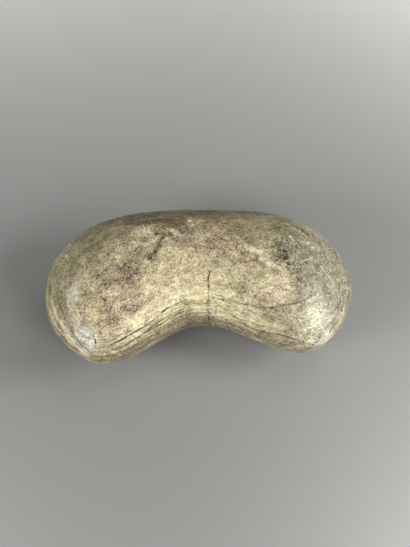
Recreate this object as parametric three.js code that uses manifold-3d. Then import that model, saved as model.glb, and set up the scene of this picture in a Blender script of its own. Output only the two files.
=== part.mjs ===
// Ground and polished kidney-shaped stone axe, one solid piece of stone lying on its underside.
//
// Units are millimetres. X runs along the length, Y from the notched front to the arched back, and Z up.
// The origin is on the ground, under the middle of the stone.
//
// The form is a sphere drawn out along X. Every slice across X is a rounded square (a superellipse) whose
// width, thickness and sideways place are blended from the waist towards the lobe on its side, and whose
// scale falls to nothing at the two tips. Two flat cuts finish it: the resting spot underneath, and a
// small ground facet on the right lobe.

import * as THREE from 'three';
import { mergeVertices } from 'three/addons/utils/BufferGeometryUtils.js';
import Module from 'manifold-3d';

// ---- Driving dimensions -------------------------------------------------------------------------

const LENGTH = 203;

// The waist, where the notch is deepest: its place is a share of the half length, to the right of middle.
const WAIST = { along: 0.023, width: 80.8, thickness: 60 };

// Each lobe: the full width and thickness that the slices grow towards, how far forward of the waist the
// lobe leans, and the shares of the half length over which it widens and leans. Fullness and bluntness
// shape the end: a higher fullness keeps the lobe wide for longer, and a bluntness of 2 is a round tip,
// more a flatter one.
const LEFT_LOBE = {
  width: 123, thickness: 68, forward: 20.4,
  widensOver: 0.79, leansOver: 0.753, fullness: 2.39, bluntness: 2.18,
};
const RIGHT_LOBE = {
  width: 118.5, thickness: 66, forward: 17.8,
  widensOver: 0.876, leansOver: 0.849, fullness: 2.81, bluntness: 1.94,
};

// How square the slices are: 2 is an ellipse, and more makes the faces flatter and the shoulders crisper.
const SQUARENESS = 2.4;

// The underside is ground away by this much, which leaves the flat spot that the stone rests on.
const RESTING_SPOT_DEPTH = 1.5;

// The facet ground on the front corner of the right lobe: the way it faces, in degrees turned from +X
// towards the front and raised above level, and how far it cuts into the stone.
const FACET = { turned: 20, raised: 6, depth: 1.35 };

// Fineness of the surface: steps around a slice and slices along the length. Slices are drawn in towards
// the waist by a power just under 1, which evens out their spacing.
const STEPS_AROUND = 72;
const SLICES_ALONG = 58;
const SLICE_SPACING_POWER = 0.9;

const STONE_COLOUR = 0xa89d7c;

// ---- Form ---------------------------------------------------------------------------------------

// Blend from 0 at the waist to 1 at `reach`, level at both ends.
function easeOutwards(distance, reach) {
  return (1 - Math.cos(Math.PI * Math.min(distance / reach, 1))) / 2;
}

// Distance from the middle of a superellipse of half width 1 to its edge, in the direction of `angle`.
function superellipseRadius(angle) {
  const across = Math.abs(Math.cos(angle)) ** SQUARENESS;
  const up = Math.abs(Math.sin(angle)) ** SQUARENESS;
  return (across + up) ** (-1 / SQUARENESS);
}

// The slice at `along`, from -1 at the left tip to 1 at the right tip.
function sliceAt(along) {
  const tip = along < 0 ? LEFT_LOBE : RIGHT_LOBE;
  const lobe = along < WAIST.along ? LEFT_LOBE : RIGHT_LOBE;
  const distance = Math.abs(along - WAIST.along);
  const growth = easeOutwards(distance, lobe.widensOver);
  const closing = Math.max(1 - Math.abs(along) ** tip.fullness, 0) ** (1 / tip.bluntness);
  const thickness = THREE.MathUtils.lerp(WAIST.thickness, lobe.thickness, growth);
  return {
    middle: -lobe.forward * easeOutwards(distance, lobe.leansOver),
    height: thickness / 2,
    halfWidth: closing * THREE.MathUtils.lerp(WAIST.width, lobe.width, growth) / 2,
    halfThickness: closing * thickness / 2,
  };
}

// A sphere with its poles at the two tips, drawn out into the stone's form, its lowest point at Z = 0.
function stoneGeometry() {
  const geometry = new THREE.SphereGeometry(1, STEPS_AROUND, SLICES_ALONG);
  geometry.rotateZ(-Math.PI / 2);
  const points = geometry.attributes.position;
  const point = new THREE.Vector3();
  for (let i = 0; i < points.count; i += 1) {
    point.fromBufferAttribute(points, i);
    const along = Math.sign(point.x) * Math.min(Math.abs(point.x), 1) ** SLICE_SPACING_POWER;
    const angle = Math.atan2(point.z, point.y);
    const radius = superellipseRadius(angle);
    const slice = sliceAt(along);
    point.set(
      along * LENGTH / 2,
      slice.middle + slice.halfWidth * radius * Math.cos(angle),
      slice.height + slice.halfThickness * radius * Math.sin(angle),
    );
    points.setXYZ(i, point.x, point.y, point.z);
  }
  return geometry;
}

// ---- Cuts ---------------------------------------------------------------------------------------

const manifold = await Module();
manifold.setup();

// A closed manifold solid from a three.js geometry, with its shared corners merged.
function toSolid(geometry) {
  const bare = geometry.clone();
  bare.deleteAttribute('normal');
  bare.deleteAttribute('uv');
  const merged = mergeVertices(bare, 1e-4);
  return new manifold.Manifold(new manifold.Mesh({
    numProp: 3,
    vertProperties: new Float32Array(merged.attributes.position.array),
    triVerts: new Uint32Array(merged.index.array),
  }));
}

// The three.js geometry of a manifold solid.
function toGeometry(solid) {
  const mesh = solid.getMesh();
  const geometry = new THREE.BufferGeometry();
  geometry.setAttribute('position', new THREE.BufferAttribute(new Float32Array(mesh.vertProperties), 3));
  geometry.setIndex(new THREE.BufferAttribute(new Uint32Array(mesh.triVerts), 1));
  return geometry;
}

// A block longer than the stone whose flat inner face stands `distance` from the origin, facing the
// stone against `outwards`. Taking it away grinds the stone flat there.
function grindingBlock(outwards, distance) {
  const side = 2 * LENGTH;
  const block = new THREE.BoxGeometry(side, side, side);
  block.translate(0, 0, distance + side / 2);
  const turn = new THREE.Quaternion().setFromUnitVectors(new THREE.Vector3(0, 0, 1), outwards);
  return block.applyQuaternion(turn);
}

// How far the geometry reaches from the origin in the direction of `outwards`.
function reachOf(geometry, outwards) {
  const points = geometry.attributes.position;
  const point = new THREE.Vector3();
  let reach = -Infinity;
  for (let i = 0; i < points.count; i += 1) {
    reach = Math.max(reach, point.fromBufferAttribute(points, i).dot(outwards));
  }
  return reach;
}

// The stone with `depth` ground away from its outermost point in the direction of `outwards`.
function grind(solid, geometry, outwards, depth) {
  const distance = reachOf(geometry, outwards) - depth;
  return solid.subtract(toSolid(grindingBlock(outwards, distance)));
}

// ---- Part ---------------------------------------------------------------------------------------

function stoneAxe() {
  const rough = stoneGeometry();
  const turned = THREE.MathUtils.degToRad(FACET.turned);
  const raised = THREE.MathUtils.degToRad(FACET.raised);
  const facetFacing = new THREE.Vector3(
    Math.cos(raised) * Math.cos(turned),
    -Math.cos(raised) * Math.sin(turned),
    Math.sin(raised),
  );
  let solid = toSolid(rough);
  solid = grind(solid, rough, new THREE.Vector3(0, 0, -1), RESTING_SPOT_DEPTH);
  solid = grind(solid, rough, facetFacing, FACET.depth);
  const geometry = toGeometry(solid);
  geometry.computeBoundingBox();
  const middle = geometry.boundingBox.getCenter(new THREE.Vector3());
  geometry.translate(-middle.x, -middle.y, -geometry.boundingBox.min.z);
  geometry.computeVertexNormals();
  const stone = new THREE.MeshStandardMaterial({ color: STONE_COLOUR, roughness: 0.42, metalness: 0 });
  const mesh = new THREE.Mesh(geometry, stone);
  mesh.name = 'stone_axe';
  return mesh;
}

const part = new THREE.Group();
part.name = 'polished_stone_axe';
part.add(stoneAxe());

export default part;
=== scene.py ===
"""Dresses a ground and polished kidney-shaped stone axe that lies on a pale studio floor.

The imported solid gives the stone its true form. The script refines that solid into a fine mesh,
works the stone's own marks into it, which are a crack, veins, bedding lines, pits and small chips,
and gives it a layered finish of mottled, satin-polished stone. All is in metres, in the frame of
the solid.
"""
import logging
import math
from dataclasses import dataclass, field
from enum import Enum

import bmesh
import bpy
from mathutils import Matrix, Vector
from mathutils.bvhtree import BVHTree


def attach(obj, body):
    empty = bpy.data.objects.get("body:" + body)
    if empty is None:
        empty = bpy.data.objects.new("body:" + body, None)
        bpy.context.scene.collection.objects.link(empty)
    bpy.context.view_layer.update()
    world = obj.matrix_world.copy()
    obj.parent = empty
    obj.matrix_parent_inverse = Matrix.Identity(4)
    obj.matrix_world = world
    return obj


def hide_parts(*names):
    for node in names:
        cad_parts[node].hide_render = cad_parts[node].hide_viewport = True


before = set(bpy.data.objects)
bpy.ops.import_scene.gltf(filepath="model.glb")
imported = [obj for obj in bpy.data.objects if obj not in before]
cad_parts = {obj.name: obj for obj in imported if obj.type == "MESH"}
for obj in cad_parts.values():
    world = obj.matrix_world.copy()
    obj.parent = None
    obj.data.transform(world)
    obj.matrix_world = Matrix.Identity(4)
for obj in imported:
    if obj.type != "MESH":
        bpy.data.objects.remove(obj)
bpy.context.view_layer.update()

log = logging.getLogger("stone_axe")

MM = 0.001
STONE_NODE = "stone_axe"
STONE_BODY = "root"
STONE_PIECE = "stone_axe_body"
HALF = 0.5
WHITE = (1.0, 1.0, 1.0)

Colour = tuple[float, float, float]
Paint = tuple[float, float, float, float]
Place = tuple[float, float, float]
Span = tuple[float, float]
Socket = bpy.types.NodeSocket
Sockets = bpy.types.bpy_prop_collection


# ---- Short calls for node trees --------------------------


class Wiring:
    """Adds nodes to a node tree and joins them, in either a shader or a geometry tree."""

    def __init__(self, tree: bpy.types.NodeTree) -> None:
        """Wraps a tree and empties it.

        Args:
            tree: The node tree to build in.
        """
        self.tree = tree
        tree.nodes.clear()

    @staticmethod
    def socket(sockets: Sockets, key: int | str) -> Socket:
        """Finds a socket by its number, or by its name among the sockets in use.

        Args:
            sockets: A node's inputs or outputs.
            key: The socket's number or name.

        Returns:
            The socket.
        """
        if isinstance(key, int):
            return sockets[key]
        return next(s for s in sockets if s.name == key and s.enabled)

    def feed(self, target: Socket, value: object) -> None:
        """Links a socket to an input, or sets the input's own value.

        Args:
            target: The input to feed.
            value: An output socket, or a plain value.
        """
        if isinstance(value, Socket):
            self.tree.links.new(value, target)
        else:
            target.default_value = value

    def add(self, kind: str, feeds: dict | None = None, **settings: object) -> bpy.types.Node:
        """Adds a node.

        Args:
            kind: The node's type name.
            feeds: What each input gets, by the input's name or number.
            settings: Properties of the node, set before its inputs.

        Returns:
            The new node.
        """
        node = self.tree.nodes.new(kind)
        for name, value in settings.items():
            setattr(node, name, value)
        for key, value in (feeds or {}).items():
            self.feed(self.socket(node.inputs, key), value)
        return node

    def maths(self, operation: str, *values: object) -> Socket:
        """Adds a maths node on plain numbers and returns its result."""
        node = self.add("ShaderNodeMath", dict(enumerate(values)), operation=operation)
        return node.outputs[0]

    def times(self, left: object, right: object) -> Socket:
        """Multiplies two numbers and returns their product."""
        return self.maths("MULTIPLY", left, right)

    def vector(self, operation: str, *values: object) -> Socket:
        """Adds a maths node on vectors and returns its vector result."""
        node = self.add("ShaderNodeVectorMath", dict(enumerate(values)), operation=operation)
        return node.outputs[0]

    def scaled(self, value: object, factor: object) -> Socket:
        """Multiplies a vector by a number and returns the vector."""
        feeds = {0: value, "Scale": factor}
        return self.add("ShaderNodeVectorMath", feeds, operation="SCALE").outputs[0]

    def length(self, value: object) -> Socket:
        """Measures a vector and returns its length."""
        return self.add("ShaderNodeVectorMath", {0: value}, operation="LENGTH").outputs["Value"]

    def ease(self, value: object, start: object, end: object) -> Socket:
        """Turns a value into a smooth step.

        Args:
            value: The value to read.
            start: Where the step is 0.
            end: Where the step is 1. It may lie below start, which turns the step round.

        Returns:
            A number from 0 to 1.
        """
        feeds = {"Value": value, "From Min": start, "From Max": end}
        return self.add("ShaderNodeMapRange", feeds, interpolation_type="SMOOTHSTEP").outputs[0]

    def step(self, value: object, span: Span, strength: object) -> Socket:
        """Turns a value into a smooth step over a span, times a strength."""
        return self.times(self.ease(value, *span), strength)

    def noise(self, point: object, size: object, detail: float = 2.0, roughness: float = 0.5,
              seed: float = 0.0, coloured: bool = False) -> Socket:
        """Adds cloudy noise.

        Args:
            point: Where to read it.
            size: The size of its largest features, in the point's own unit.
            detail: How many finer layers it has.
            roughness: How strong the finer layers are.
            seed: A number that gives each use its own pattern.
            coloured: Whether to return three independent values in place of one.

        Returns:
            A value about 0.5, or a colour of three such values.
        """
        scale = self.maths("DIVIDE", 1.0, size) if isinstance(size, Socket) else 1.0 / size
        feeds = {"Vector": point, "W": seed, "Scale": scale, "Detail": detail,
                 "Roughness": roughness}
        node = self.add("ShaderNodeTexNoise", feeds, noise_dimensions="4D")
        return node.outputs["Color" if coloured else 0]

    def swing(self, noise: Socket, strength: object, base: object = 0.0) -> Socket:
        """Turns noise about a half into a swing of some strength to both sides of a base value."""
        return self.maths("MULTIPLY_ADD", self.maths("SUBTRACT", noise, HALF), strength, base)

    def drift(self, point: object, size: float, detail: float, roughness: float,
              seed: float) -> Socket:
        """Adds noise that points any way.

        Args:
            point: Where to read it.
            size: The size of its largest features, in the point's own unit.
            detail: How many finer layers it has.
            roughness: How strong the finer layers are.
            seed: A number that gives each use its own pattern.

        Returns:
            A vector of three values about zero, each within a half of it.
        """
        shake = self.noise(point, size, detail, roughness, seed, coloured=True)
        return self.vector("SUBTRACT", shake, (HALF, HALF, HALF))

    def shaken(self, point: object, size: float, reach: float, seed: float) -> Socket:
        """Moves a point about by noise, which makes straight edges ragged.

        Args:
            point: The point to move.
            size: The size of the ragged features, in the point's own unit.
            reach: How far the point moves at most along each axis, in the same unit.
            seed: The noise's seed.

        Returns:
            The moved point.
        """
        drift = self.drift(point, size, 3.0, 0.6, seed)
        return self.vector("ADD", point, self.scaled(drift, reach / HALF))

    def blend(self, factor: object, below: object, above: object, mode: str = "MIX") -> Socket:
        """Lays one colour over another.

        Args:
            factor: How much of the upper colour shows.
            below: The lower colour.
            above: The upper colour.
            mode: How the two are combined.

        Returns:
            The combined colour.
        """
        feeds = {0: factor, 6: below, 7: above}
        return self.add("ShaderNodeMix", feeds, data_type="RGBA", blend_type=mode).outputs[2]


def solid(colour: Colour) -> Paint:
    """Gives a colour its fourth value, for a colour socket."""
    return (*colour, 1.0)


# ---- The stone's own marks -------------------------------


class Tone(Enum):
    """How a mark or a pit is coloured: above 0 it is dark, below 0 it is pale."""

    SOOTY = 1.0
    DARK = 0.68
    BROWN = 0.45
    FAINT = 0.28
    PALE = -0.6
    WHITE = -1.0


@dataclass(frozen=True)
class Mark:
    """A line in the stone, such as a crack or a vein, along points near its surface.

    All sizes and places are in millimetres.
    """

    name: str
    tone: Tone
    width: float
    depth: float
    route: tuple[Place, ...]


@dataclass(frozen=True)
class Spot:
    """A single pit or chip at a place near the surface, in millimetres."""

    tone: Tone
    radius: float
    depth: float
    place: Place


MARKS = (
    Mark("crack", Tone.SOOTY, 0.7, 0.4,
         ((7, -3, 57), (6, -8, 55), (6, -14, 52), (6, -20, 47), (6, -25, 38), (7, -26, 25),
          (8, -20, 10))),
    Mark("right_vein", Tone.DARK, 0.65, 0.15,
         ((7, -18, 49), (26, -23, 50), (40, -27, 52), (52, -27, 55), (65, -24, 56), (74, -17, 54))),
    Mark("right_vein_branch", Tone.DARK, 0.6, 0.1, ((40, -27, 52), (43, -30, 51), (48, -35, 49))),
    Mark("left_arm_upper", Tone.SOOTY, 0.68, 0.25,
         ((-8, -20, 49), (-21, -27, 49), (-31, -35, 47), (-43, -43, 47), (-55, -50, 46))),
    Mark("left_arm_middle", Tone.DARK, 0.8, 0.2,
         ((-6, -21, 47), (-13, -26, 44), (-25, -33, 44), (-36, -41, 43))),
    Mark("left_arm_lower", Tone.SOOTY, 0.62, 0.2,
         ((-10, -25, 43), (-25, -34, 42), (-39, -44, 43), (-52, -51, 41))),
    Mark("left_streak", Tone.BROWN, 1.1, 0.05, ((-29, -22, 56), (-33, -25, 56), (-37, -28, 56))),
    Mark("right_arm_upper", Tone.DARK, 0.7, 0.12,
         ((10, -21, 47), (24, -29, 41), (33, -32, 42), (40, -36, 42))),
    Mark("right_arm_middle", Tone.DARK, 0.9, 0.2,
         ((24, -29, 41), (33, -34, 37), (42, -38, 39), (54, -42, 42), (66, -45, 40))),
    Mark("right_arm_lower", Tone.DARK, 0.8, 0.15,
         ((17, -28, 33), (37, -37, 30), (58, -46, 34))),
    Mark("right_shoulder", Tone.DARK, 0.8, 0.2,
         ((95, -11, 45), (91, -18, 47), (87, -30, 45), (84, -36, 43), (83, -40, 39))),
    Mark("top_right_arc", Tone.DARK, 0.65, 0.15,
         ((45, 26, 58), (51, 29, 57), (64, 32, 53), (73, 25, 53))),
    Mark("left_rim_inner", Tone.BROWN, 1.1, 0.1,
         ((-88, -24, 50), (-83, -34, 49), (-78, -43, 47), (-66, -53, 40))),
    Mark("left_rim_outer", Tone.PALE, 1.2, 0.0,
         ((-94, -19, 46), (-90, -30, 46), (-84, -40, 45), (-77, -48, 42), (-70, -53, 38))),
    Mark("tip_nick", Tone.DARK, 0.5, 0.3, ((-65, -43, 50), (-64, -48, 48), (-64, -51, 46))),
    Mark("left_foot_upper", Tone.BROWN, 0.9, 0.1,
         ((-76, -46, 42), (-68, -53, 39), (-58, -55, 38), (-46, -51, 38), (-34, -43, 39))),
    Mark("left_foot_lower", Tone.BROWN, 0.9, 0.1,
         ((-84, -36, 40), (-76, -48, 34), (-64, -56, 32), (-50, -54, 31), (-36, -46, 31))),
    Mark("back_seam", Tone.BROWN, 1.0, 0.1,
         ((-55, 18, 59), (-48, 26, 58), (-38, 32, 57), (-22, 36, 56))),
    Mark("left_back_seam", Tone.FAINT, 1.2, 0.1,
         ((-84, -2, 54), (-79, 6, 56), (-72, 13, 57), (-62, 19, 58))),
    Mark("scratch_1", Tone.PALE, 0.5, 0.05, ((65, 20, 56), (76, 12, 55))),
    Mark("scratch_2", Tone.PALE, 0.5, 0.05, ((76, 4, 55), (84, -6, 52))),
    Mark("scratch_3", Tone.PALE, 0.5, 0.05, ((64, 2, 57), (74, 7, 56))),
    Mark("dark_trail", Tone.BROWN, 1.3, 0.15,
         ((-29, 26, 59), (-24, 22, 60), (-18, 23, 59), (-24, 20, 60), (-25, 14, 60),
          (-29, 9, 60), (-32, 3, 61))),
)

SPOTS = (
    Spot(Tone.SOOTY, 1.6, 0.5, (-28, 23, 59)), Spot(Tone.DARK, 1.7, 0.4, (-24, 20, 60)),
    Spot(Tone.DARK, 1.5, 0.4, (-19, 23, 59)), Spot(Tone.DARK, 1.2, 0.4, (-25, 14, 60)),
    Spot(Tone.SOOTY, 1.7, 0.5, (-28, 9, 60)), Spot(Tone.SOOTY, 2.0, 0.5, (-31, 4, 60)),
    Spot(Tone.DARK, 1.3, 0.4, (53, 16, 59)), Spot(Tone.SOOTY, 1.7, 0.6, (55, 10, 59)),
    Spot(Tone.SOOTY, 2.2, 0.8, (55, 5, 59)), Spot(Tone.SOOTY, 2.0, 0.8, (57, 1, 59)),
    Spot(Tone.DARK, 1.2, 0.4, (63, 14, 58)), Spot(Tone.DARK, 1.2, 0.4, (52, 11, 59)),
    Spot(Tone.WHITE, 1.6, 0.3, (-6, 35, 56)), Spot(Tone.WHITE, 1.1, 0.2, (60, 22, 57)),
    Spot(Tone.WHITE, 1.2, 0.2, (71, 18, 55)), Spot(Tone.WHITE, 0.9, 0.2, (74, 15, 55)),
    Spot(Tone.WHITE, 1.1, 0.2, (-87, 11, 51)), Spot(Tone.WHITE, 0.8, 0.2, (-18, 17, 59)),
    Spot(Tone.SOOTY, 1.1, 0.5, (-64, -49, 48)), Spot(Tone.DARK, 1.0, 0.3, (-72, -21, 58)),
    Spot(Tone.DARK, 0.9, 0.3, (-67, -20, 59)), Spot(Tone.DARK, 1.0, 0.3, (-58, -25, 59)),
    Spot(Tone.DARK, 1.1, 0.3, (35, -20, 55)), Spot(Tone.DARK, 1.0, 0.3, (53, -30, 53)),
    Spot(Tone.SOOTY, 1.4, 0.5, (73, -46, 36)), Spot(Tone.DARK, 1.2, 0.4, (76, -43, 41)),
)


@dataclass
class MarkLayout:
    """Lays the marks and spots onto the stone's surface, as helper meshes that the relief reads."""

    surface: BVHTree
    step: float = 1.0 * MM
    marks: tuple[Mark, ...] = MARKS
    spots: tuple[Spot, ...] = SPOTS

    def on_surface(self, place: Vector) -> Vector:
        """Returns the point of the surface that is nearest to a place."""
        return self.surface.find_nearest(place)[0]

    def route(self, mark: Mark) -> list[Vector]:
        """Draws a smooth line through a mark's points and lays it on the surface.

        Args:
            mark: The mark to draw.

        Returns:
            Points on the surface, one every step or so.
        """
        points = [Vector(p) * MM for p in mark.route]
        ends = [2 * points[0] - points[1], *points, 2 * points[-1] - points[-2]]
        line = []
        for before, start, end, after in zip(ends, ends[1:], ends[2:], ends[3:]):
            count = max(2, round((end - start).length / self.step))
            for i in range(count):
                t = i / count
                curve = (2 * start + (end - before) * t
                         + (2 * before - 5 * start + 4 * end - after) * t ** 2
                         + (3 * start - before - 3 * end + after) * t ** 3)
                line.append(self.on_surface(curve / 2))
        line.append(self.on_surface(points[-1]))
        return line

    @staticmethod
    def helper(name: str, points: list[Vector], edges: list[tuple[int, int]],
               values: dict[str, list[float]]) -> bpy.types.Object:
        """Makes a helper mesh with a value on each point.

        Args:
            name: The helper's name.
            points: Its points.
            edges: Its edges.
            values: A list of numbers for each named value, one for each point.

        Returns:
            The helper object, which isn't linked to the scene.
        """
        mesh = bpy.data.meshes.new(name)
        mesh.from_pydata(points, edges, [])
        for key, numbers in values.items():
            mesh.attributes.new(key, "FLOAT", "POINT").data.foreach_set("value", numbers)
        return bpy.data.objects.new(name, mesh)

    def lines_helper(self) -> bpy.types.Object:
        """Makes one helper mesh of all the marks' lines.

        Returns:
            The helper, with each line's width, depth and tone on its points.
        """
        points, edges = [], []
        values = {"line_width": [], "line_depth": [], "line_tone": []}
        for mark in self.marks:
            line = self.route(mark)
            log.debug("%s: %d points", mark.name, len(line))
            first = len(points)
            points += line
            edges += [(first + i, first + i + 1) for i in range(len(line) - 1)]
            values["line_width"] += [mark.width * MM] * len(line)
            values["line_depth"] += [mark.depth * MM] * len(line)
            values["line_tone"] += [mark.tone.value] * len(line)
        return self.helper("mark_lines", points, edges, values)

    def spots_helper(self) -> bpy.types.Object:
        """Makes one helper mesh of a loose point for each spot.

        Returns:
            The helper, with each spot's radius, depth and tone on its point.
        """
        points = [self.on_surface(Vector(spot.place) * MM) for spot in self.spots]
        values = {
            "pit_radius": [spot.radius * MM for spot in self.spots],
            "pit_depth": [spot.depth * MM for spot in self.spots],
            "pit_tone": [spot.tone.value for spot in self.spots],
        }
        return self.helper("mark_spots", points, [], values)


# ---- Relief ----------------------------------------------


MEASURES = ("Wave Size", "Wave Height", "Ripple Size", "Ripple Height", "Pit Spacing", "Pit Radius",
            "Pit Depth", "Line Wander")


@dataclass
class StoneRelief:
    """The geometry tree that works waves, grooves and pits into the stone.

    Sizes are in metres, and the density is in pits to the square metre. Farthest is how far from a
    line or a pit the stone still notes it, in widths of the line or radii of the pit. Lowest keeps
    the stone from sinking into the floor.
    """

    wave_size: float = 38 * MM
    wave_height: float = 0.45 * MM
    ripple_size: float = 9 * MM
    ripple_height: float = 0.10 * MM
    pit_spacing: float = 3.2 * MM
    pit_radius: float = 0.85 * MM
    pit_depth: float = 0.22 * MM
    pit_density: float = 60000.0
    pit_cloud_size: float = 22 * MM
    pit_wander_size: float = 1.6 * MM
    pit_wander: float = 0.7 * MM
    pit_crowding: Span = (0.45, 0.68)
    pit_sizes: Span = (0.45, 1.0)
    pit_tones: Span = (-0.15, 0.6)
    bowl_edge: Span = (1.15, 0.2)
    groove_edge: Span = (1.4, 0.0)
    line_wander_size: float = 5 * MM
    line_wander: float = 0.5 * MM
    farthest: float = 8.0
    lowest: Place = (-1.0, -1.0, 0.0)
    seed: int = 7
    sockets: dict[str, str] = field(default_factory=dict)
    wires: Wiring = field(init=False)

    def make_tree(self) -> bpy.types.NodeTree:
        """Builds the tree, with a named input for each measure.

        Returns:
            The geometry node tree.
        """
        tree = bpy.data.node_groups.new("stone relief", "GeometryNodeTree")
        wires = self.wires = Wiring(tree)
        kinds = {
            "Stone": "Geometry", "Lines": "Object", "Spots": "Object", "Finish": "Material",
            **dict.fromkeys(MEASURES, "Float"), "Seed": "Int",
        }
        for name, kind in kinds.items():
            made = tree.interface.new_socket(name, in_out="INPUT", socket_type=f"NodeSocket{kind}")
            self.sockets[name] = made.identifier
        tree.interface.new_socket("Stone", in_out="OUTPUT", socket_type="NodeSocketGeometry")
        given = wires.add("NodeGroupInput").outputs
        position = wires.add("GeometryNodeInputPosition").outputs[0]
        normal = wires.add("GeometryNodeInputNormal").outputs[0]

        groove, stone = self.add_lines(given, position, given["Stone"])
        bowl, stone = self.add_pits(given, position, stone)
        waves = self.add_waves(given, position)
        height = wires.maths("SUBTRACT", wires.maths("SUBTRACT", waves, groove), bowl)
        moved = wires.vector("ADD", position, wires.scaled(normal, height))
        above_ground = wires.vector("MAXIMUM", moved, self.lowest)
        stone = wires.add("GeometryNodeSetPosition", {"Geometry": stone, "Position": above_ground})
        stone = wires.add("GeometryNodeSetShadeSmooth", {0: stone.outputs[0]})
        stone = wires.add("GeometryNodeRealizeInstances", {0: stone.outputs[0]})
        feeds = {0: stone.outputs[0], "Material": given["Finish"]}
        stone = wires.add("GeometryNodeSetMaterial", feeds)
        wires.add("NodeGroupOutput", {0: stone.outputs[0]})
        return tree

    def add_waves(self, given: Sockets, position: Socket) -> Socket:
        """Adds the slow waves and the finer ripples that hand grinding leaves.

        Args:
            given: The tree's inputs.
            position: The point being moved.

        Returns:
            The height of the waves.
        """
        wires, total = self.wires, None
        for name, seed in (("Wave", 1.0), ("Ripple", 2.0)):
            cloud = wires.noise(position, given[f"{name} Size"], 1.0, 0.4, self.seed + seed)
            height = wires.swing(cloud, wires.times(given[f"{name} Height"], 2.0))
            total = height if total is None else wires.maths("ADD", total, height)
        return total

    def sample(self, source: Socket, index: Socket, name: str) -> Socket:
        """Reads a named value of one point of another mesh.

        Args:
            source: The geometry to read from.
            index: The point's number.
            name: The value's name.

        Returns:
            The value.
        """
        value = self.wires.add("GeometryNodeInputNamedAttribute", {"Name": name}, data_type="FLOAT")
        feeds = {"Geometry": source, "Value": value.outputs[0], "Index": index}
        return self.wires.add("GeometryNodeSampleIndex", feeds, data_type="FLOAT").outputs[0]

    def keep(self, stone: Socket, values: dict[str, Socket]) -> Socket:
        """Stores values on the stone's points, for the finish to read.

        Args:
            stone: The stone.
            values: The values by name.

        Returns:
            The stone with its values.
        """
        for name, value in values.items():
            feeds = {"Geometry": stone, "Name": name, "Value": value}
            store = self.wires.add("GeometryNodeStoreNamedAttribute", feeds, data_type="FLOAT")
            stone = store.outputs[0]
        return stone

    def add_lines(self, given: Sockets, position: Socket, stone: Socket) -> tuple[Socket, Socket]:
        """Cuts a shallow groove along each marked line and notes how near each point is to one.

        Args:
            given: The tree's inputs.
            position: The point being moved.
            stone: The stone.

        Returns:
            The groove's depth, and the stone with "line_reach" and "line_shade" on its points.
        """
        wires = self.wires
        drift = wires.drift(position, self.line_wander_size, 2.0, 0.6, self.seed + 3.0)
        wander = wires.scaled(drift, wires.times(given["Line Wander"], 2.0))
        place = wires.vector("ADD", position, wander)
        lines = wires.add("GeometryNodeObjectInfo", {"Object": given["Lines"]}).outputs["Geometry"]
        near = wires.add("GeometryNodeProximity", {0: lines, "Sample Position": place},
                         target_element="EDGES").outputs["Distance"]
        index = wires.add("GeometryNodeSampleNearest",
                          {"Geometry": lines, "Sample Position": place}).outputs[0]
        width, depth, tone = (self.sample(lines, index, f"line_{what}")
                              for what in ("width", "depth", "tone"))
        reach = wires.maths("MINIMUM", wires.maths("DIVIDE", near, width), self.farthest)
        groove = wires.step(reach, self.groove_edge, depth)
        return groove, self.keep(stone, {"line_reach": reach, "line_shade": tone})

    def add_pits(self, given: Sockets, position: Socket, stone: Socket) -> tuple[Socket, Socket]:
        """Sinks the marked spots and a scatter of small natural pits, denser in some places.

        Args:
            given: The tree's inputs.
            position: The point being moved.
            stone: The stone.

        Returns:
            The pits' depth, and the stone with "pit_reach" and "pit_shade" on its points.
        """
        wires = self.wires
        cloud = wires.noise(position, self.pit_cloud_size, 2.0, 0.5, self.seed + 4.0)
        feeds = {"Mesh": stone, "Distance Min": given["Pit Spacing"],
                 "Density Max": self.pit_density,
                 "Density Factor": wires.ease(cloud, *self.pit_crowding), "Seed": given["Seed"]}
        scatter = wires.add("GeometryNodeDistributePointsOnFaces", feeds,
                            distribute_method="POISSON").outputs["Points"]
        size = self.random(self.pit_sizes, 11)
        scatter = self.keep(scatter, {
            "pit_radius": wires.times(given["Pit Radius"], size),
            "pit_depth": wires.times(given["Pit Depth"], size),
            "pit_tone": self.random(self.pit_tones, 12),
        })
        spots = wires.add("GeometryNodeObjectInfo", {"Object": given["Spots"]}).outputs["Geometry"]
        spots = wires.add("GeometryNodeMeshToPoints", {"Mesh": spots}).outputs[0]
        pits = wires.add("GeometryNodeJoinGeometry")
        for part in (scatter, spots):
            wires.tree.links.new(part, pits.inputs[0])
        pits = pits.outputs[0]
        drift = wires.drift(position, self.pit_wander_size, 1.0, 0.5, self.seed + 5.0)
        place = wires.vector("ADD", position, wires.scaled(drift, self.pit_wander / HALF))
        index = wires.add("GeometryNodeSampleNearest",
                          {"Geometry": pits, "Sample Position": place}).outputs[0]
        feeds = {"Geometry": pits, "Value": position, "Index": index}
        middle = wires.add("GeometryNodeSampleIndex", feeds, data_type="FLOAT_VECTOR").outputs[0]
        radius, depth, tone = (self.sample(pits, index, f"pit_{what}")
                               for what in ("radius", "depth", "tone"))
        away = wires.length(wires.vector("SUBTRACT", place, middle))
        reach = wires.maths("MINIMUM", wires.maths("DIVIDE", away, radius), self.farthest)
        bowl = wires.step(reach, self.bowl_edge, depth)
        return bowl, self.keep(stone, {"pit_reach": reach, "pit_shade": tone})

    def random(self, span: Span, seed: int) -> Socket:
        """Adds a random number for each point.

        Args:
            span: The least and the most it can be.
            seed: A number that gives each use its own draw.

        Returns:
            The random number.
        """
        feeds = {"Min": span[0], "Max": span[1], "Seed": self.seed + seed}
        node = self.wires.add("FunctionNodeRandomValue", feeds, data_type="FLOAT")
        return self.wires.socket(node.outputs, "Value")

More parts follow.
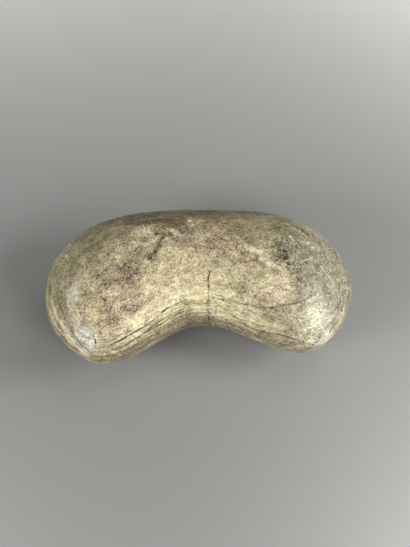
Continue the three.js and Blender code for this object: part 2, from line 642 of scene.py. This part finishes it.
    def apply(self, stone: bpy.types.Object, layout: MarkLayout,
              finish: bpy.types.Material) -> bpy.types.Object:
        """Works the relief into a stone and returns the result as a plain mesh object.

        Args:
            stone: The smooth fine stone.
            layout: The marks and spots.
            finish: The material that the result gets.

        Returns:
            A new object with no modifiers.
        """
        tree = self.make_tree()
        lines, spots = layout.lines_helper(), layout.spots_helper()
        values = {"Lines": lines, "Spots": spots, "Finish": finish, "Seed": self.seed}
        values |= {name: getattr(self, name.lower().replace(" ", "_")) for name in MEASURES}
        modifier = stone.modifiers.new("relief", "NODES")
        modifier.node_group = tree
        for name, value in values.items():
            modifier[self.sockets[name]] = value
        mesh = evaluated_mesh(stone, "stone_worked")
        stone.modifiers.remove(modifier)
        for helper in (lines, spots):
            bpy.data.objects.remove(helper)
        return link(bpy.data.objects.new(STONE_PIECE, mesh))


def link(thing: bpy.types.Object) -> bpy.types.Object:
    """Puts an object in the scene and returns it."""
    bpy.context.scene.collection.objects.link(thing)
    return thing


def evaluated_mesh(thing: bpy.types.Object, name: str) -> bpy.types.Mesh:
    """Makes a new mesh of an object as its modifiers leave it.

    Args:
        thing: The object, with its modifiers.
        name: The new mesh's name.

    Returns:
        The new mesh.
    """
    graph = bpy.context.evaluated_depsgraph_get()
    mesh = bpy.data.meshes.new_from_object(thing.evaluated_get(graph), depsgraph=graph)
    mesh.name = name
    return mesh


# ---- Finish ----------------------------------------------


class Hue(Enum):
    """The stone's own colours, save that the chalk is partly a painted sheen. The fourth number is
    how gritty that part of the stone looks.
    """

    IVORY = (0.885, 0.795, 0.495, 0.42)
    CREAM = (0.68, 0.59, 0.365, 0.5)
    TAN = (0.80, 0.685, 0.45, 0.5)
    BUFF = (0.50, 0.41, 0.255, 0.8)
    MAUVE = (0.28, 0.21, 0.14, 1.0)
    OLIVE = (0.325, 0.292, 0.163, 0.5)
    UMBER = (0.175, 0.138, 0.072, 0.5)
    GREY = (0.285, 0.275, 0.182, 0.65)
    SLATE = (0.145, 0.13, 0.082, 0.9)
    # Chalk: a pale film on the stone, made paler than the film itself to paint the lobes' whitish
    # sheen.
    CHALK_AND_SHEEN = (0.77, 0.74, 0.60, 0.52)
    SOOT = (0.06, 0.045, 0.026, 0.0)

    @property
    def colour(self) -> Paint:
        """The colour as a colour socket takes it."""
        return solid(self.value[:3])

    @property
    def grit(self) -> float:
        """How gritty the stone looks where it has this colour."""
        return self.value[3]


@dataclass(frozen=True)
class Patch:
    """A soft ragged area of one colour. Sizes are in millimetres and turns in degrees."""

    name: str
    hue: Hue
    strength: float
    centre: Place
    radii: Place
    turn: float = 0.0


PATCHES = (
    Patch("cream waist", Hue.CREAM, 0.85, (-12, -6, 54), (30, 17, 22), 15),
    Patch("cream centre", Hue.CREAM, 0.5, (-16, 3, 59), (12, 9, 10)),
    Patch("cream left arm", Hue.CREAM, 0.95, (-20, -22, 50), (30, 9, 12), 30),
    Patch("ivory left arm", Hue.IVORY, 0.92, (-25, -28, 50), (25, 6, 9), 32),
    Patch("ivory left flank", Hue.IVORY, 0.85, (-31, -37, 46), (25, 4, 8), 33),
    Patch("ivory right arm", Hue.IVORY, 1.0, (24, -27, 44), (30, 8, 12), -22),
    Patch("ivory waist", Hue.IVORY, 1.0, (15, -23, 47), (20, 10, 13), -10),
    Patch("cream left tip", Hue.CREAM, 0.85, (-59, -46, 49), (13, 10, 11)),
    Patch("cream left top", Hue.CREAM, 0.45, (-68, -8, 60), (14, 7, 12), 30),
    Patch("olive left back", Hue.OLIVE, 0.6, (-76, 11, 54), (34, 14, 24), 38),
    Patch("olive left end", Hue.OLIVE, 0.75, (-95, -14, 44), (11, 24, 24)),
    # A darker band along the back edge: partly the stone's brown, partly painted shade where the
    # back turns away from the light.
    Patch("umber back and painted shade", Hue.UMBER, 0.85, (0, 46, 48), (74, 12, 16)),
    Patch("brown centre back and painted shade", Hue.UMBER, 0.95, (-32, 35, 56), (30, 7, 14), -8),
    Patch("olive right back", Hue.OLIVE, 0.75, (44, 30, 56), (34, 12, 18), -8),
    Patch("dark right back", Hue.SLATE, 0.4, (62, 26, 55), (20, 8, 14), -22),
    Patch("yellow streak", Hue.IVORY, 0.75, (41, 5, 60), (15, 3, 8), -43),
    Patch("dark trail top", Hue.UMBER, 0.6, (-24, 23, 60), (7, 2.6, 8), -15),
    Patch("dark trail middle", Hue.UMBER, 0.55, (-26, 13, 60), (2.8, 6, 8), -15),
    Patch("dark trail end", Hue.UMBER, 0.75, (-31, 5, 61), (5, 3, 8)),
    # A painted highlight: a small pale spot that stands for the glossy sheen on the waist.
    Patch("painted highlight waist", Hue.CHALK_AND_SHEEN, 0.6, (-8, -18, 51), (2.5, 4, 6)),
    Patch("mauve left", Hue.MAUVE, 0.8, (-50, -8, 60), (15, 8, 16), 15),
    Patch("mauve left tip", Hue.MAUVE, 0.2, (-52, -40, 53), (8, 6, 8)),
    Patch("mauve centre", Hue.MAUVE, 0.3, (4, 21, 58), (25, 12, 16)),
    Patch("mauve middle", Hue.MAUVE, 0.25, (-3, 7, 58), (7, 8, 10)),
    Patch("mauve left top", Hue.MAUVE, 0.3, (-44, 14, 60), (10, 7, 10)),
    Patch("mauve low right", Hue.MAUVE, 0.3, (42, -26, 53), (10, 4, 8), -20),
    Patch("olive right middle", Hue.OLIVE, 0.55, (34, 20, 59), (14, 6, 12), -30),
    Patch("mauve low left", Hue.MAUVE, 0.4, (-44, -30, 57), (20, 4, 14), 25),
    Patch("tan island", Hue.TAN, 0.75, (54, -12, 58), (11, 13, 14)),
    Patch("tan right arm", Hue.TAN, 0.4, (52, -28, 54), (20, 8, 12)),
    Patch("grey right", Hue.GREY, 0.97, (89, -3, 48), (33, 36, 30), -6),
    Patch("slate right edge", Hue.SLATE, 0.45, (64, 5, 58), (6, 12, 14), 8),
    Patch("slate right", Hue.SLATE, 0.75, (54, 10, 59), (6, 12, 14), 8),
    # Pale chalky film on the lobes, partly a painted sheen that stands for their whitish gloss.
    Patch("chalk and sheen right", Hue.CHALK_AND_SHEEN, 0.55, (75, -39, 45), (17, 12, 18), 20),
    Patch("chalk and sheen right foot", Hue.CHALK_AND_SHEEN, 0.5, (80, -45, 37), (8, 8, 9)),
    Patch("chalk and sheen right trail", Hue.CHALK_AND_SHEEN, 0.4, (73, -22, 54), (7, 13, 14), -8),
    Patch("chalk and sheen left", Hue.CHALK_AND_SHEEN, 0.85, (-78, -17, 56), (4, 10, 10), -8),
    Patch("chalk and sheen low left", Hue.CHALK_AND_SHEEN, 1.0, (-70, -47, 48), (7, 9, 12), 25),
    Patch("brown left foot", Hue.MAUVE, 0.5, (-45, -53, 33), (34, 8, 12), 30),
    Patch("brown waist", Hue.MAUVE, 0.8, (4, -28, 26), (26, 10, 13)),
    Patch("brown left flank", Hue.UMBER, 0.2, (-28, -39, 37), (30, 5, 5), 30),
    Patch("brown right flank", Hue.UMBER, 0.2, (44, -40, 34), (30, 5, 5), -18),
)


@dataclass(frozen=True)
class Cloud:
    """A cloudy layer of one colour, which shows where its noise lies within a span."""

    hue: Hue
    size: float
    span: Span
    strength: float
    seed: int


@dataclass(frozen=True)
class Beds:
    """A set of level beds. On_top is the share of them that shows where the stone is level."""

    thickness: float
    wander: float
    on_top: float
    seed: int


@dataclass(frozen=True)
class StoneFinish:
    """Mottled, satin-polished stone: a cream ground with mauve, olive and grey areas and old dirt.

    Sizes and heights are in millimetres. A span gives the values between which an effect fades in.
    """

    name: str = "satin mottled stone"
    patches: tuple[Patch, ...] = PATCHES
    clouds: tuple[Cloud, ...] = (
        Cloud(Hue.OLIVE, 44.0, (0.52, 0.60), 0.55, 4),
        Cloud(Hue.MAUVE, 13.0, (0.50, 0.59), 0.6, 5),
    )
    beds: tuple[Beds, ...] = (Beds(2.6, 3.0, 0.2, 9), Beds(1.0, 1.6, 0.55, 14))
    gloss: float = 0.4
    roughness: float = 0.40
    grain_roughness: float = 0.2
    dirt_roughness: float = 0.3
    grain_size: float = 1.2
    grain_height: float = 0.4
    speck_size: float = 1.0
    speck_height: float = 0.08
    streak_height: float = 0.05
    patch_edge: Span = (1.35, 0.55)
    bed_stretch: Place = (0.05, 0.05, 1.0)
    bed_wear: Span = (0.30, 0.54)
    facing_flank: Span = (0.95, 0.6)
    seam_middle: float = 0.53
    seam_edge: Span = (0.022, 0.006)
    dark_beds: Span = (0.54, 0.68)
    pale_beds: Span = (0.46, 0.34)
    bed_stain: Colour = (0.26, 0.19, 0.13)
    blotches: Span = (0.36, 0.64)
    blotch_shades: tuple[Colour, Colour] = ((0.64, 0.59, 0.56), (1.30, 1.32, 1.34))
    grains: Span = (0.32, 0.55)
    grain_shades: tuple[Colour, Colour] = ((0.10, 0.07, 0.05), (1.36, 1.38, 1.37))
    blots: Span = (0.58, 0.66)
    blot_stain: Colour = (0.42, 0.34, 0.29)
    dots: Span = (0.61, 0.67)
    dot_stain: Colour = (0.28, 0.22, 0.19)
    # Painted glints: where pale specks stand for the sparkle of the polished surface.
    painted_glints: Span = (0.385, 0.31)
    painted_glint_colour: Colour = (0.95, 0.90, 0.75)
    mark_core: Span = (1.15, 0.3)
    mark_gaps: Span = (0.34, 0.60)
    line_halo: Span = (2.6, 0.4)
    pit_halo: Span = (1.9, 0.4)
    chip_colour: Colour = (0.88, 0.80, 0.56)
    seed: float = 20.0

    def make(self) -> bpy.types.Material:
        """Builds the stone's material.

        Returns:
            The material.
        """
        material = bpy.data.materials.new(self.name)
        material.use_nodes = True
        wires = Wiring(material.node_tree)
        place = wires.scaled(wires.add("ShaderNodeTexCoord").outputs["Object"], 1.0 / MM)
        grain = wires.noise(place, self.grain_size, 2.0, 0.7, self.seed)
        speck = wires.noise(place, self.speck_size, 1.0, 0.5, self.seed + 1)

        colour = self.ground(wires, place, grain)
        colour, grit = self.areas(wires, place, grain, colour)
        colour, streak = self.bedding(wires, place, colour)
        colour = self.speckle(wires, place, colour, grain, speck, grit)
        colour, dark = self.marks(wires, place, grain, colour)

        roughness = wires.maths("ADD", self.roughness - self.grain_roughness / 2,
                                wires.times(grain, self.grain_roughness))
        roughness = wires.maths("ADD", roughness, wires.times(dark, self.dirt_roughness))
        height = wires.times(grain, self.grain_height)
        height = wires.maths("ADD", height, wires.times(speck, self.speck_height))
        height = wires.maths("SUBTRACT", height, wires.times(streak, self.streak_height))
        bump = wires.add("ShaderNodeBump", {"Strength": 1.0, "Distance": MM, "Height": height})
        shader = wires.add("ShaderNodeBsdfPrincipled", {
            "Base Color": colour, "Roughness": roughness, "Specular IOR Level": self.gloss,
            "Normal": bump.outputs[0],
        })
        wires.add("ShaderNodeOutputMaterial", {"Surface": shader.outputs[0]})
        return material

    def ground(self, wires: Wiring, place: Socket, grain: Socket) -> Socket:
        """Lays the cloudy cream, buff, mauve and olive ground that covers the stone on all sides.

        Args:
            wires: The tree being built.
            place: The point in millimetres.
            grain: The fine grain.

        Returns:
            The ground's colour.
        """
        wide = wires.shaken(place, 18.0, 6.0, self.seed + 2)
        cream = wires.ease(wires.noise(wide, 30.0, 3.0, 0.55, self.seed + 3), 0.40, 0.62)
        colour = wires.blend(cream, Hue.BUFF.colour, Hue.CREAM.colour)
        for cloud in self.clouds:
            shape = wires.noise(wide, cloud.size, 4.0, 0.62, self.seed + cloud.seed)
            cover = wires.step(wires.swing(grain, 0.30, shape), cloud.span, cloud.strength)
            colour = wires.blend(cover, colour, cloud.hue.colour)
        return colour

    def areas(self, wires: Wiring, place: Socket, grain: Socket,
              colour: Socket) -> tuple[Socket, Socket]:
        """Lays the patches over the ground, with ragged, grainy edges.

        Args:
            wires: The tree being built.
            place: The point in millimetres.
            grain: The fine grain.
            colour: The ground's colour.

        Returns:
            The colour, and how gritty the stone looks.
        """
        ragged = wires.shaken(place, 14.0, 4.5, self.seed + 6)
        ragged = wires.shaken(ragged, 4.0, 1.6, self.seed + 7)
        cloud = wires.noise(place, 7.0, 3.0, 0.65, self.seed + 13)
        rag = wires.swing(cloud, 1.6, wires.swing(grain, 1.1))
        grit = Hue.BUFF.grit
        for patch in self.patches:
            inside = wires.add("ShaderNodeMapping", {
                "Vector": ragged, "Location": patch.centre,
                "Rotation": (0.0, 0.0, math.radians(patch.turn)), "Scale": patch.radii,
            }, vector_type="TEXTURE", label=patch.name)
            away = wires.maths("ADD", wires.length(inside.outputs[0]), rag)
            cover = wires.step(away, self.patch_edge, patch.strength)
            colour = wires.blend(cover, colour, patch.hue.colour)
            grit = wires.add("ShaderNodeMix", {0: cover, 2: grit, 3: patch.hue.grit}).outputs[0]
        return colour, grit

    def bedding(self, wires: Wiring, place: Socket, colour: Socket) -> tuple[Socket, Socket]:
        """Draws the thin level beds of the stone, which show as long streaks round its flanks.

        Args:
            wires: The tree being built.
            place: The point in millimetres.
            colour: The colour so far.

        Returns:
            The colour, and where the dark streaks are.
        """
        normal = wires.add("ShaderNodeNewGeometry").outputs["Normal"]
        upward = wires.add("ShaderNodeSeparateXYZ", {0: normal}).outputs[2]
        steepness = wires.ease(upward, *self.facing_flank)
        wear = wires.ease(wires.noise(place, 9.0, 2.0, 0.5, self.seed + 10), *self.bed_wear)
        all_dark = 0.0
        for beds in self.beds:
            shown = wires.maths("MULTIPLY_ADD", steepness, 1.0 - beds.on_top, beds.on_top)
            shown = wires.times(shown, wear)
            level = wires.shaken(place, 26.0, beds.wander, self.seed + 8)
            level = wires.vector("MULTIPLY", level, self.bed_stretch)
            layer = wires.noise(level, beds.thickness, 3.0, 0.7, self.seed + beds.seed)
            off_seam = wires.maths("ABSOLUTE", wires.maths("SUBTRACT", layer, self.seam_middle))
            seam = wires.step(off_seam, self.seam_edge, 0.95)
            dark = wires.maths("MAXIMUM", wires.step(layer, self.dark_beds, 0.8), seam)
            dark = wires.times(dark, shown)
            pale = wires.times(wires.step(layer, self.pale_beds, shown), 0.55)
            colour = wires.blend(dark, colour, solid(self.bed_stain), "MULTIPLY")
            colour = wires.blend(pale, colour, Hue.CREAM.colour)
            all_dark = wires.maths("MAXIMUM", all_dark, dark)
        return colour, all_dark

    def speckle(self, wires: Wiring, place: Socket, colour: Socket, grain: Socket, speck: Socket,
                grit: Socket) -> Socket:
        """Adds the fine grain, scattered dark specks and painted glints, pale specks that stand for
        sparkling highlights.

        Args:
            wires: The tree being built.
            place: The point in millimetres.
            colour: The colour so far.
            grain: The fine grain.
            speck: The specks' own noise.
            grit: How gritty the stone looks.

        Returns:
            The speckled colour.
        """
        blotch = wires.noise(place, 5.0, 4.0, 0.7, self.seed + 12)
        for tone, (low, high) in (
            (wires.ease(blotch, *self.blotches), self.blotch_shades),
            (wires.ease(grain, *self.grains), self.grain_shades),
        ):
            shade = wires.blend(tone, solid(low), solid(high))
            shade = wires.blend(grit, solid(WHITE), shade)
            colour = wires.vector("MULTIPLY", colour, shade)
        blots = wires.noise(place, 2.8, 2.0, 0.6, self.seed + 15)
        blots = wires.step(blots, self.blots, wires.times(grit, grit))
        colour = wires.blend(blots, colour, solid(self.blot_stain), "MULTIPLY")
        dots = wires.step(speck, self.dots, wires.maths("MULTIPLY_ADD", grit, 0.6, 0.05))
        colour = wires.blend(dots, colour, solid(self.dot_stain), "MULTIPLY")
        # Painted glints: pale specks in the base colour that stand for sparkling highlights.
        painted_glints = wires.step(speck, self.painted_glints, wires.times(grit, 0.9))
        return wires.blend(painted_glints, colour, solid(self.painted_glint_colour))

    def marks(self, wires: Wiring, place: Socket, grain: Socket,
              colour: Socket) -> tuple[Socket, Socket]:
        """Colours the lines and pits that the relief noted on the stone.

        Args:
            wires: The tree being built.
            place: The point in millimetres.
            grain: The fine grain.
            colour: The colour so far.

        Returns:
            The colour, and how dark the marks make it.
        """
        gaps = wires.ease(wires.noise(place, 5.0, 3.0, 0.7, self.seed + 11), *self.mark_gaps)
        broken = wires.maths("MULTIPLY_ADD", gaps, 0.85, 0.25)
        rough_edge = wires.swing(grain, 1.6)
        all_dark = 0.0
        for what, halo in (("line", self.line_halo), ("pit", self.pit_halo)):
            reach, shade = (
                wires.add("ShaderNodeAttribute", attribute_name=f"{what}_{value}").outputs["Fac"]
                for value in ("reach", "shade"))
            reach = wires.maths("ADD", reach, rough_edge)
            near = wires.maths("MULTIPLY_ADD", wires.ease(reach, *halo), 0.2,
                               wires.step(reach, self.mark_core, 0.9))
            if what == "line":
                near = wires.times(near, broken)
            paleness = wires.times(shade, -1.0)
            dark, pale = (wires.times(near, wires.maths("MAXIMUM", tone, 0.0))
                          for tone in (shade, paleness))
            colour = wires.blend(dark, colour, Hue.SOOT.colour)
            colour = wires.blend(pale, colour, solid(self.chip_colour))
            all_dark = wires.maths("MAXIMUM", all_dark, dark)
        return colour, all_dark


@dataclass(frozen=True)
class FloorFinish:
    """Plain matt studio paper."""

    name: str = "matt studio paper"
    colour: Colour = (0.292, 0.2935, 0.282)
    roughness: float = 0.95
    gloss: float = 0.1

    def make(self) -> bpy.types.Material:
        """Builds the floor's material.

        Returns:
            The material.
        """
        material = bpy.data.materials.new(self.name)
        material.use_nodes = True
        wires = Wiring(material.node_tree)
        shader = wires.add("ShaderNodeBsdfPrincipled", {
            "Base Color": solid(self.colour), "Roughness": self.roughness,
            "Specular IOR Level": self.gloss,
        })
        wires.add("ShaderNodeOutputMaterial", {"Surface": shader.outputs[0]})
        return material


# ---- The stone -------------------------------------------


@dataclass
class AxeStone:
    """The one piece of the axe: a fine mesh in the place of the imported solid."""

    voxel: float = 0.85 * MM
    join_distance: float = 0.001 * MM
    smoothing: int = 12
    softness: float = 0.5
    relief: StoneRelief = field(default_factory=StoneRelief)
    finish: StoneFinish = field(default_factory=StoneFinish)

    def smooth_copy(self) -> bpy.types.Object:
        """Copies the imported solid, joins its loose triangles and gives it a fine, even mesh.

        Returns:
            The smooth stone, linked to the scene.
        """
        shape = bmesh.new()
        shape.from_mesh(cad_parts[STONE_NODE].data)
        bmesh.ops.remove_doubles(shape, verts=shape.verts, dist=self.join_distance)
        mesh = bpy.data.meshes.new("stone_smooth")
        shape.to_mesh(mesh)
        shape.free()
        stone = link(bpy.data.objects.new("stone_smooth", mesh))
        remesh = stone.modifiers.new("even", "REMESH")
        remesh.mode = "VOXEL"
        remesh.voxel_size = self.voxel
        remesh.use_smooth_shade = True
        soften = stone.modifiers.new("soften", "SMOOTH")
        soften.factor = self.softness
        soften.iterations = self.smoothing
        even = evaluated_mesh(stone, "stone_even")
        stone.modifiers.clear()
        stone.data = even
        return stone

    def build(self) -> bpy.types.Object:
        """Builds the finished stone.

        Returns:
            The stone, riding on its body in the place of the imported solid.
        """
        smooth = self.smooth_copy()
        surface = BVHTree.FromObject(smooth, bpy.context.evaluated_depsgraph_get())
        stone = self.relief.apply(smooth, MarkLayout(surface), self.finish.make())
        bpy.data.objects.remove(smooth)
        self.dress(stone)
        return stone

    @staticmethod
    def dress(stone: bpy.types.Object) -> None:
        """Gives the stone its body and hides the imported solid that it stands for.

        Args:
            stone: The finished stone.
        """
        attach(stone, STONE_BODY)
        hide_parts(STONE_NODE)


# ---- Studio ----------------------------------------------


@dataclass(frozen=True)
class SoftLight:
    """A round soft light that faces its aim, in metres, watts and degrees.

    Azimuth 0 is the front and 90 the right side.
    """

    name: str
    azimuth: float
    elevation: float
    power: float
    distance: float = 0.9
    size: float = 0.4
    aim: Place = (0.0, 0.0, 0.0)
    spread: float = 180.0

    def place(self) -> bpy.types.Object:
        """Makes the light at its distance from its aim.

        Returns:
            The light's object.
        """
        lamp = bpy.data.lights.new(self.name, "AREA")
        lamp.shape = "DISK"
        lamp.size = self.size
        lamp.energy = self.power
        lamp.spread = math.radians(self.spread)
        holder = link(bpy.data.objects.new(self.name, lamp))
        turn, rise = math.radians(self.azimuth), math.radians(self.elevation)
        level = math.cos(rise)
        away = Vector((math.sin(turn) * level, -math.cos(turn) * level, math.sin(rise)))
        holder.location = Vector(self.aim) + away * self.distance
        holder.rotation_euler = (-away).to_track_quat("-Z", "Y").to_euler()
        return holder


def floor_light(name: str, power: float, x: float, y: float) -> SoftLight:
    """Describes a small light that shines straight down on one part of the floor."""
    return SoftLight(name, 0, 90, power, distance=0.5, size=0.3, aim=(x, y, 0.0), spread=80)


@dataclass
class Studio:
    """A plain pale floor, soft lights and a faint even light all round. Sizes are in metres."""

    floor_size: float = 4.0
    finish: FloorFinish = field(default_factory=FloorFinish)
    ambient: float = 0.055
    lights: tuple[SoftLight, ...] = (
        SoftLight("window right", 88, 24, 6.67),
        SoftLight("window front right", 43, 35, 3.02),
        SoftLight("window front left", -62, 25, 5.2),
        SoftLight("back fill", 125, 60, 1.19, size=0.5),
        floor_light("far floor left", 0.90, -0.25, 0.45),
        floor_light("far floor middle", 0.46, 0.1, 0.45),
        floor_light("far floor right", 1.59, 0.4, 0.45),
        floor_light("near floor left", 2.0, -0.38, -0.45),
        floor_light("near floor right", 3.4, 0.41, -0.38),
    )

    def build_floor(self) -> bpy.types.Object:
        """Makes the floor.

        Returns:
            The floor.
        """
        half = self.floor_size / 2
        mesh = bpy.data.meshes.new("studio_floor")
        corners = [(-half, -half, 0), (half, -half, 0), (half, half, 0), (-half, half, 0)]
        mesh.from_pydata(corners, [], [(0, 1, 2, 3)])
        mesh.materials.append(self.finish.make())
        floor = link(bpy.data.objects.new("studio_floor", mesh))
        return floor

    def build_lights(self) -> None:
        """Places the soft lights and the even light."""
        for light in self.lights:
            light.place()
        world = bpy.data.worlds.new("studio_air")
        world.use_nodes = True
        air = world.node_tree.nodes["Background"].inputs
        air["Strength"].default_value = self.ambient
        air["Color"].default_value = solid(WHITE)
        bpy.context.scene.world = world


@dataclass
class ViewCamera:
    """The camera, looking down onto the stone from the front.

    The elevation is in degrees, the lens and sensor in millimetres, and the rest in metres.
    """

    elevation: float = 62.0
    distance: float = 0.5
    lens: float = 48.53
    sensor: float = 36.0
    nearest: float = 0.01
    target: Place = (0.0039, 0.0091, 0.030)

    def place(self) -> bpy.types.Object:
        """Makes the camera and sets it as the scene's.

        Returns:
            The camera.
        """
        data = bpy.data.cameras.new("view")
        data.lens = self.lens
        data.sensor_width = self.sensor
        data.clip_start = self.nearest
        camera = link(bpy.data.objects.new("view", data))
        rise = math.radians(self.elevation)
        back = Vector((0.0, -math.cos(rise), math.sin(rise)))
        camera.location = Vector(self.target) + back * self.distance
        camera.rotation_euler = (math.radians(90.0) - rise, 0.0, 0.0)
        bpy.context.scene.camera = camera
        return camera


def main() -> None:
    """Builds the stone and its studio and reports each piece."""
    logging.basicConfig(level=logging.INFO, format="%(name)s: %(message)s")
    studio = Studio()
    studio.build_floor()
    studio.build_lights()
    ViewCamera().place()
    stone = AxeStone().build()
    log.info("%s: %d triangles", stone.name, sum(len(p.vertices) - 2 for p in stone.data.polygons))
    bpy.context.scene.view_settings.view_transform = "Standard"


if __name__ == "__main__":
    main()
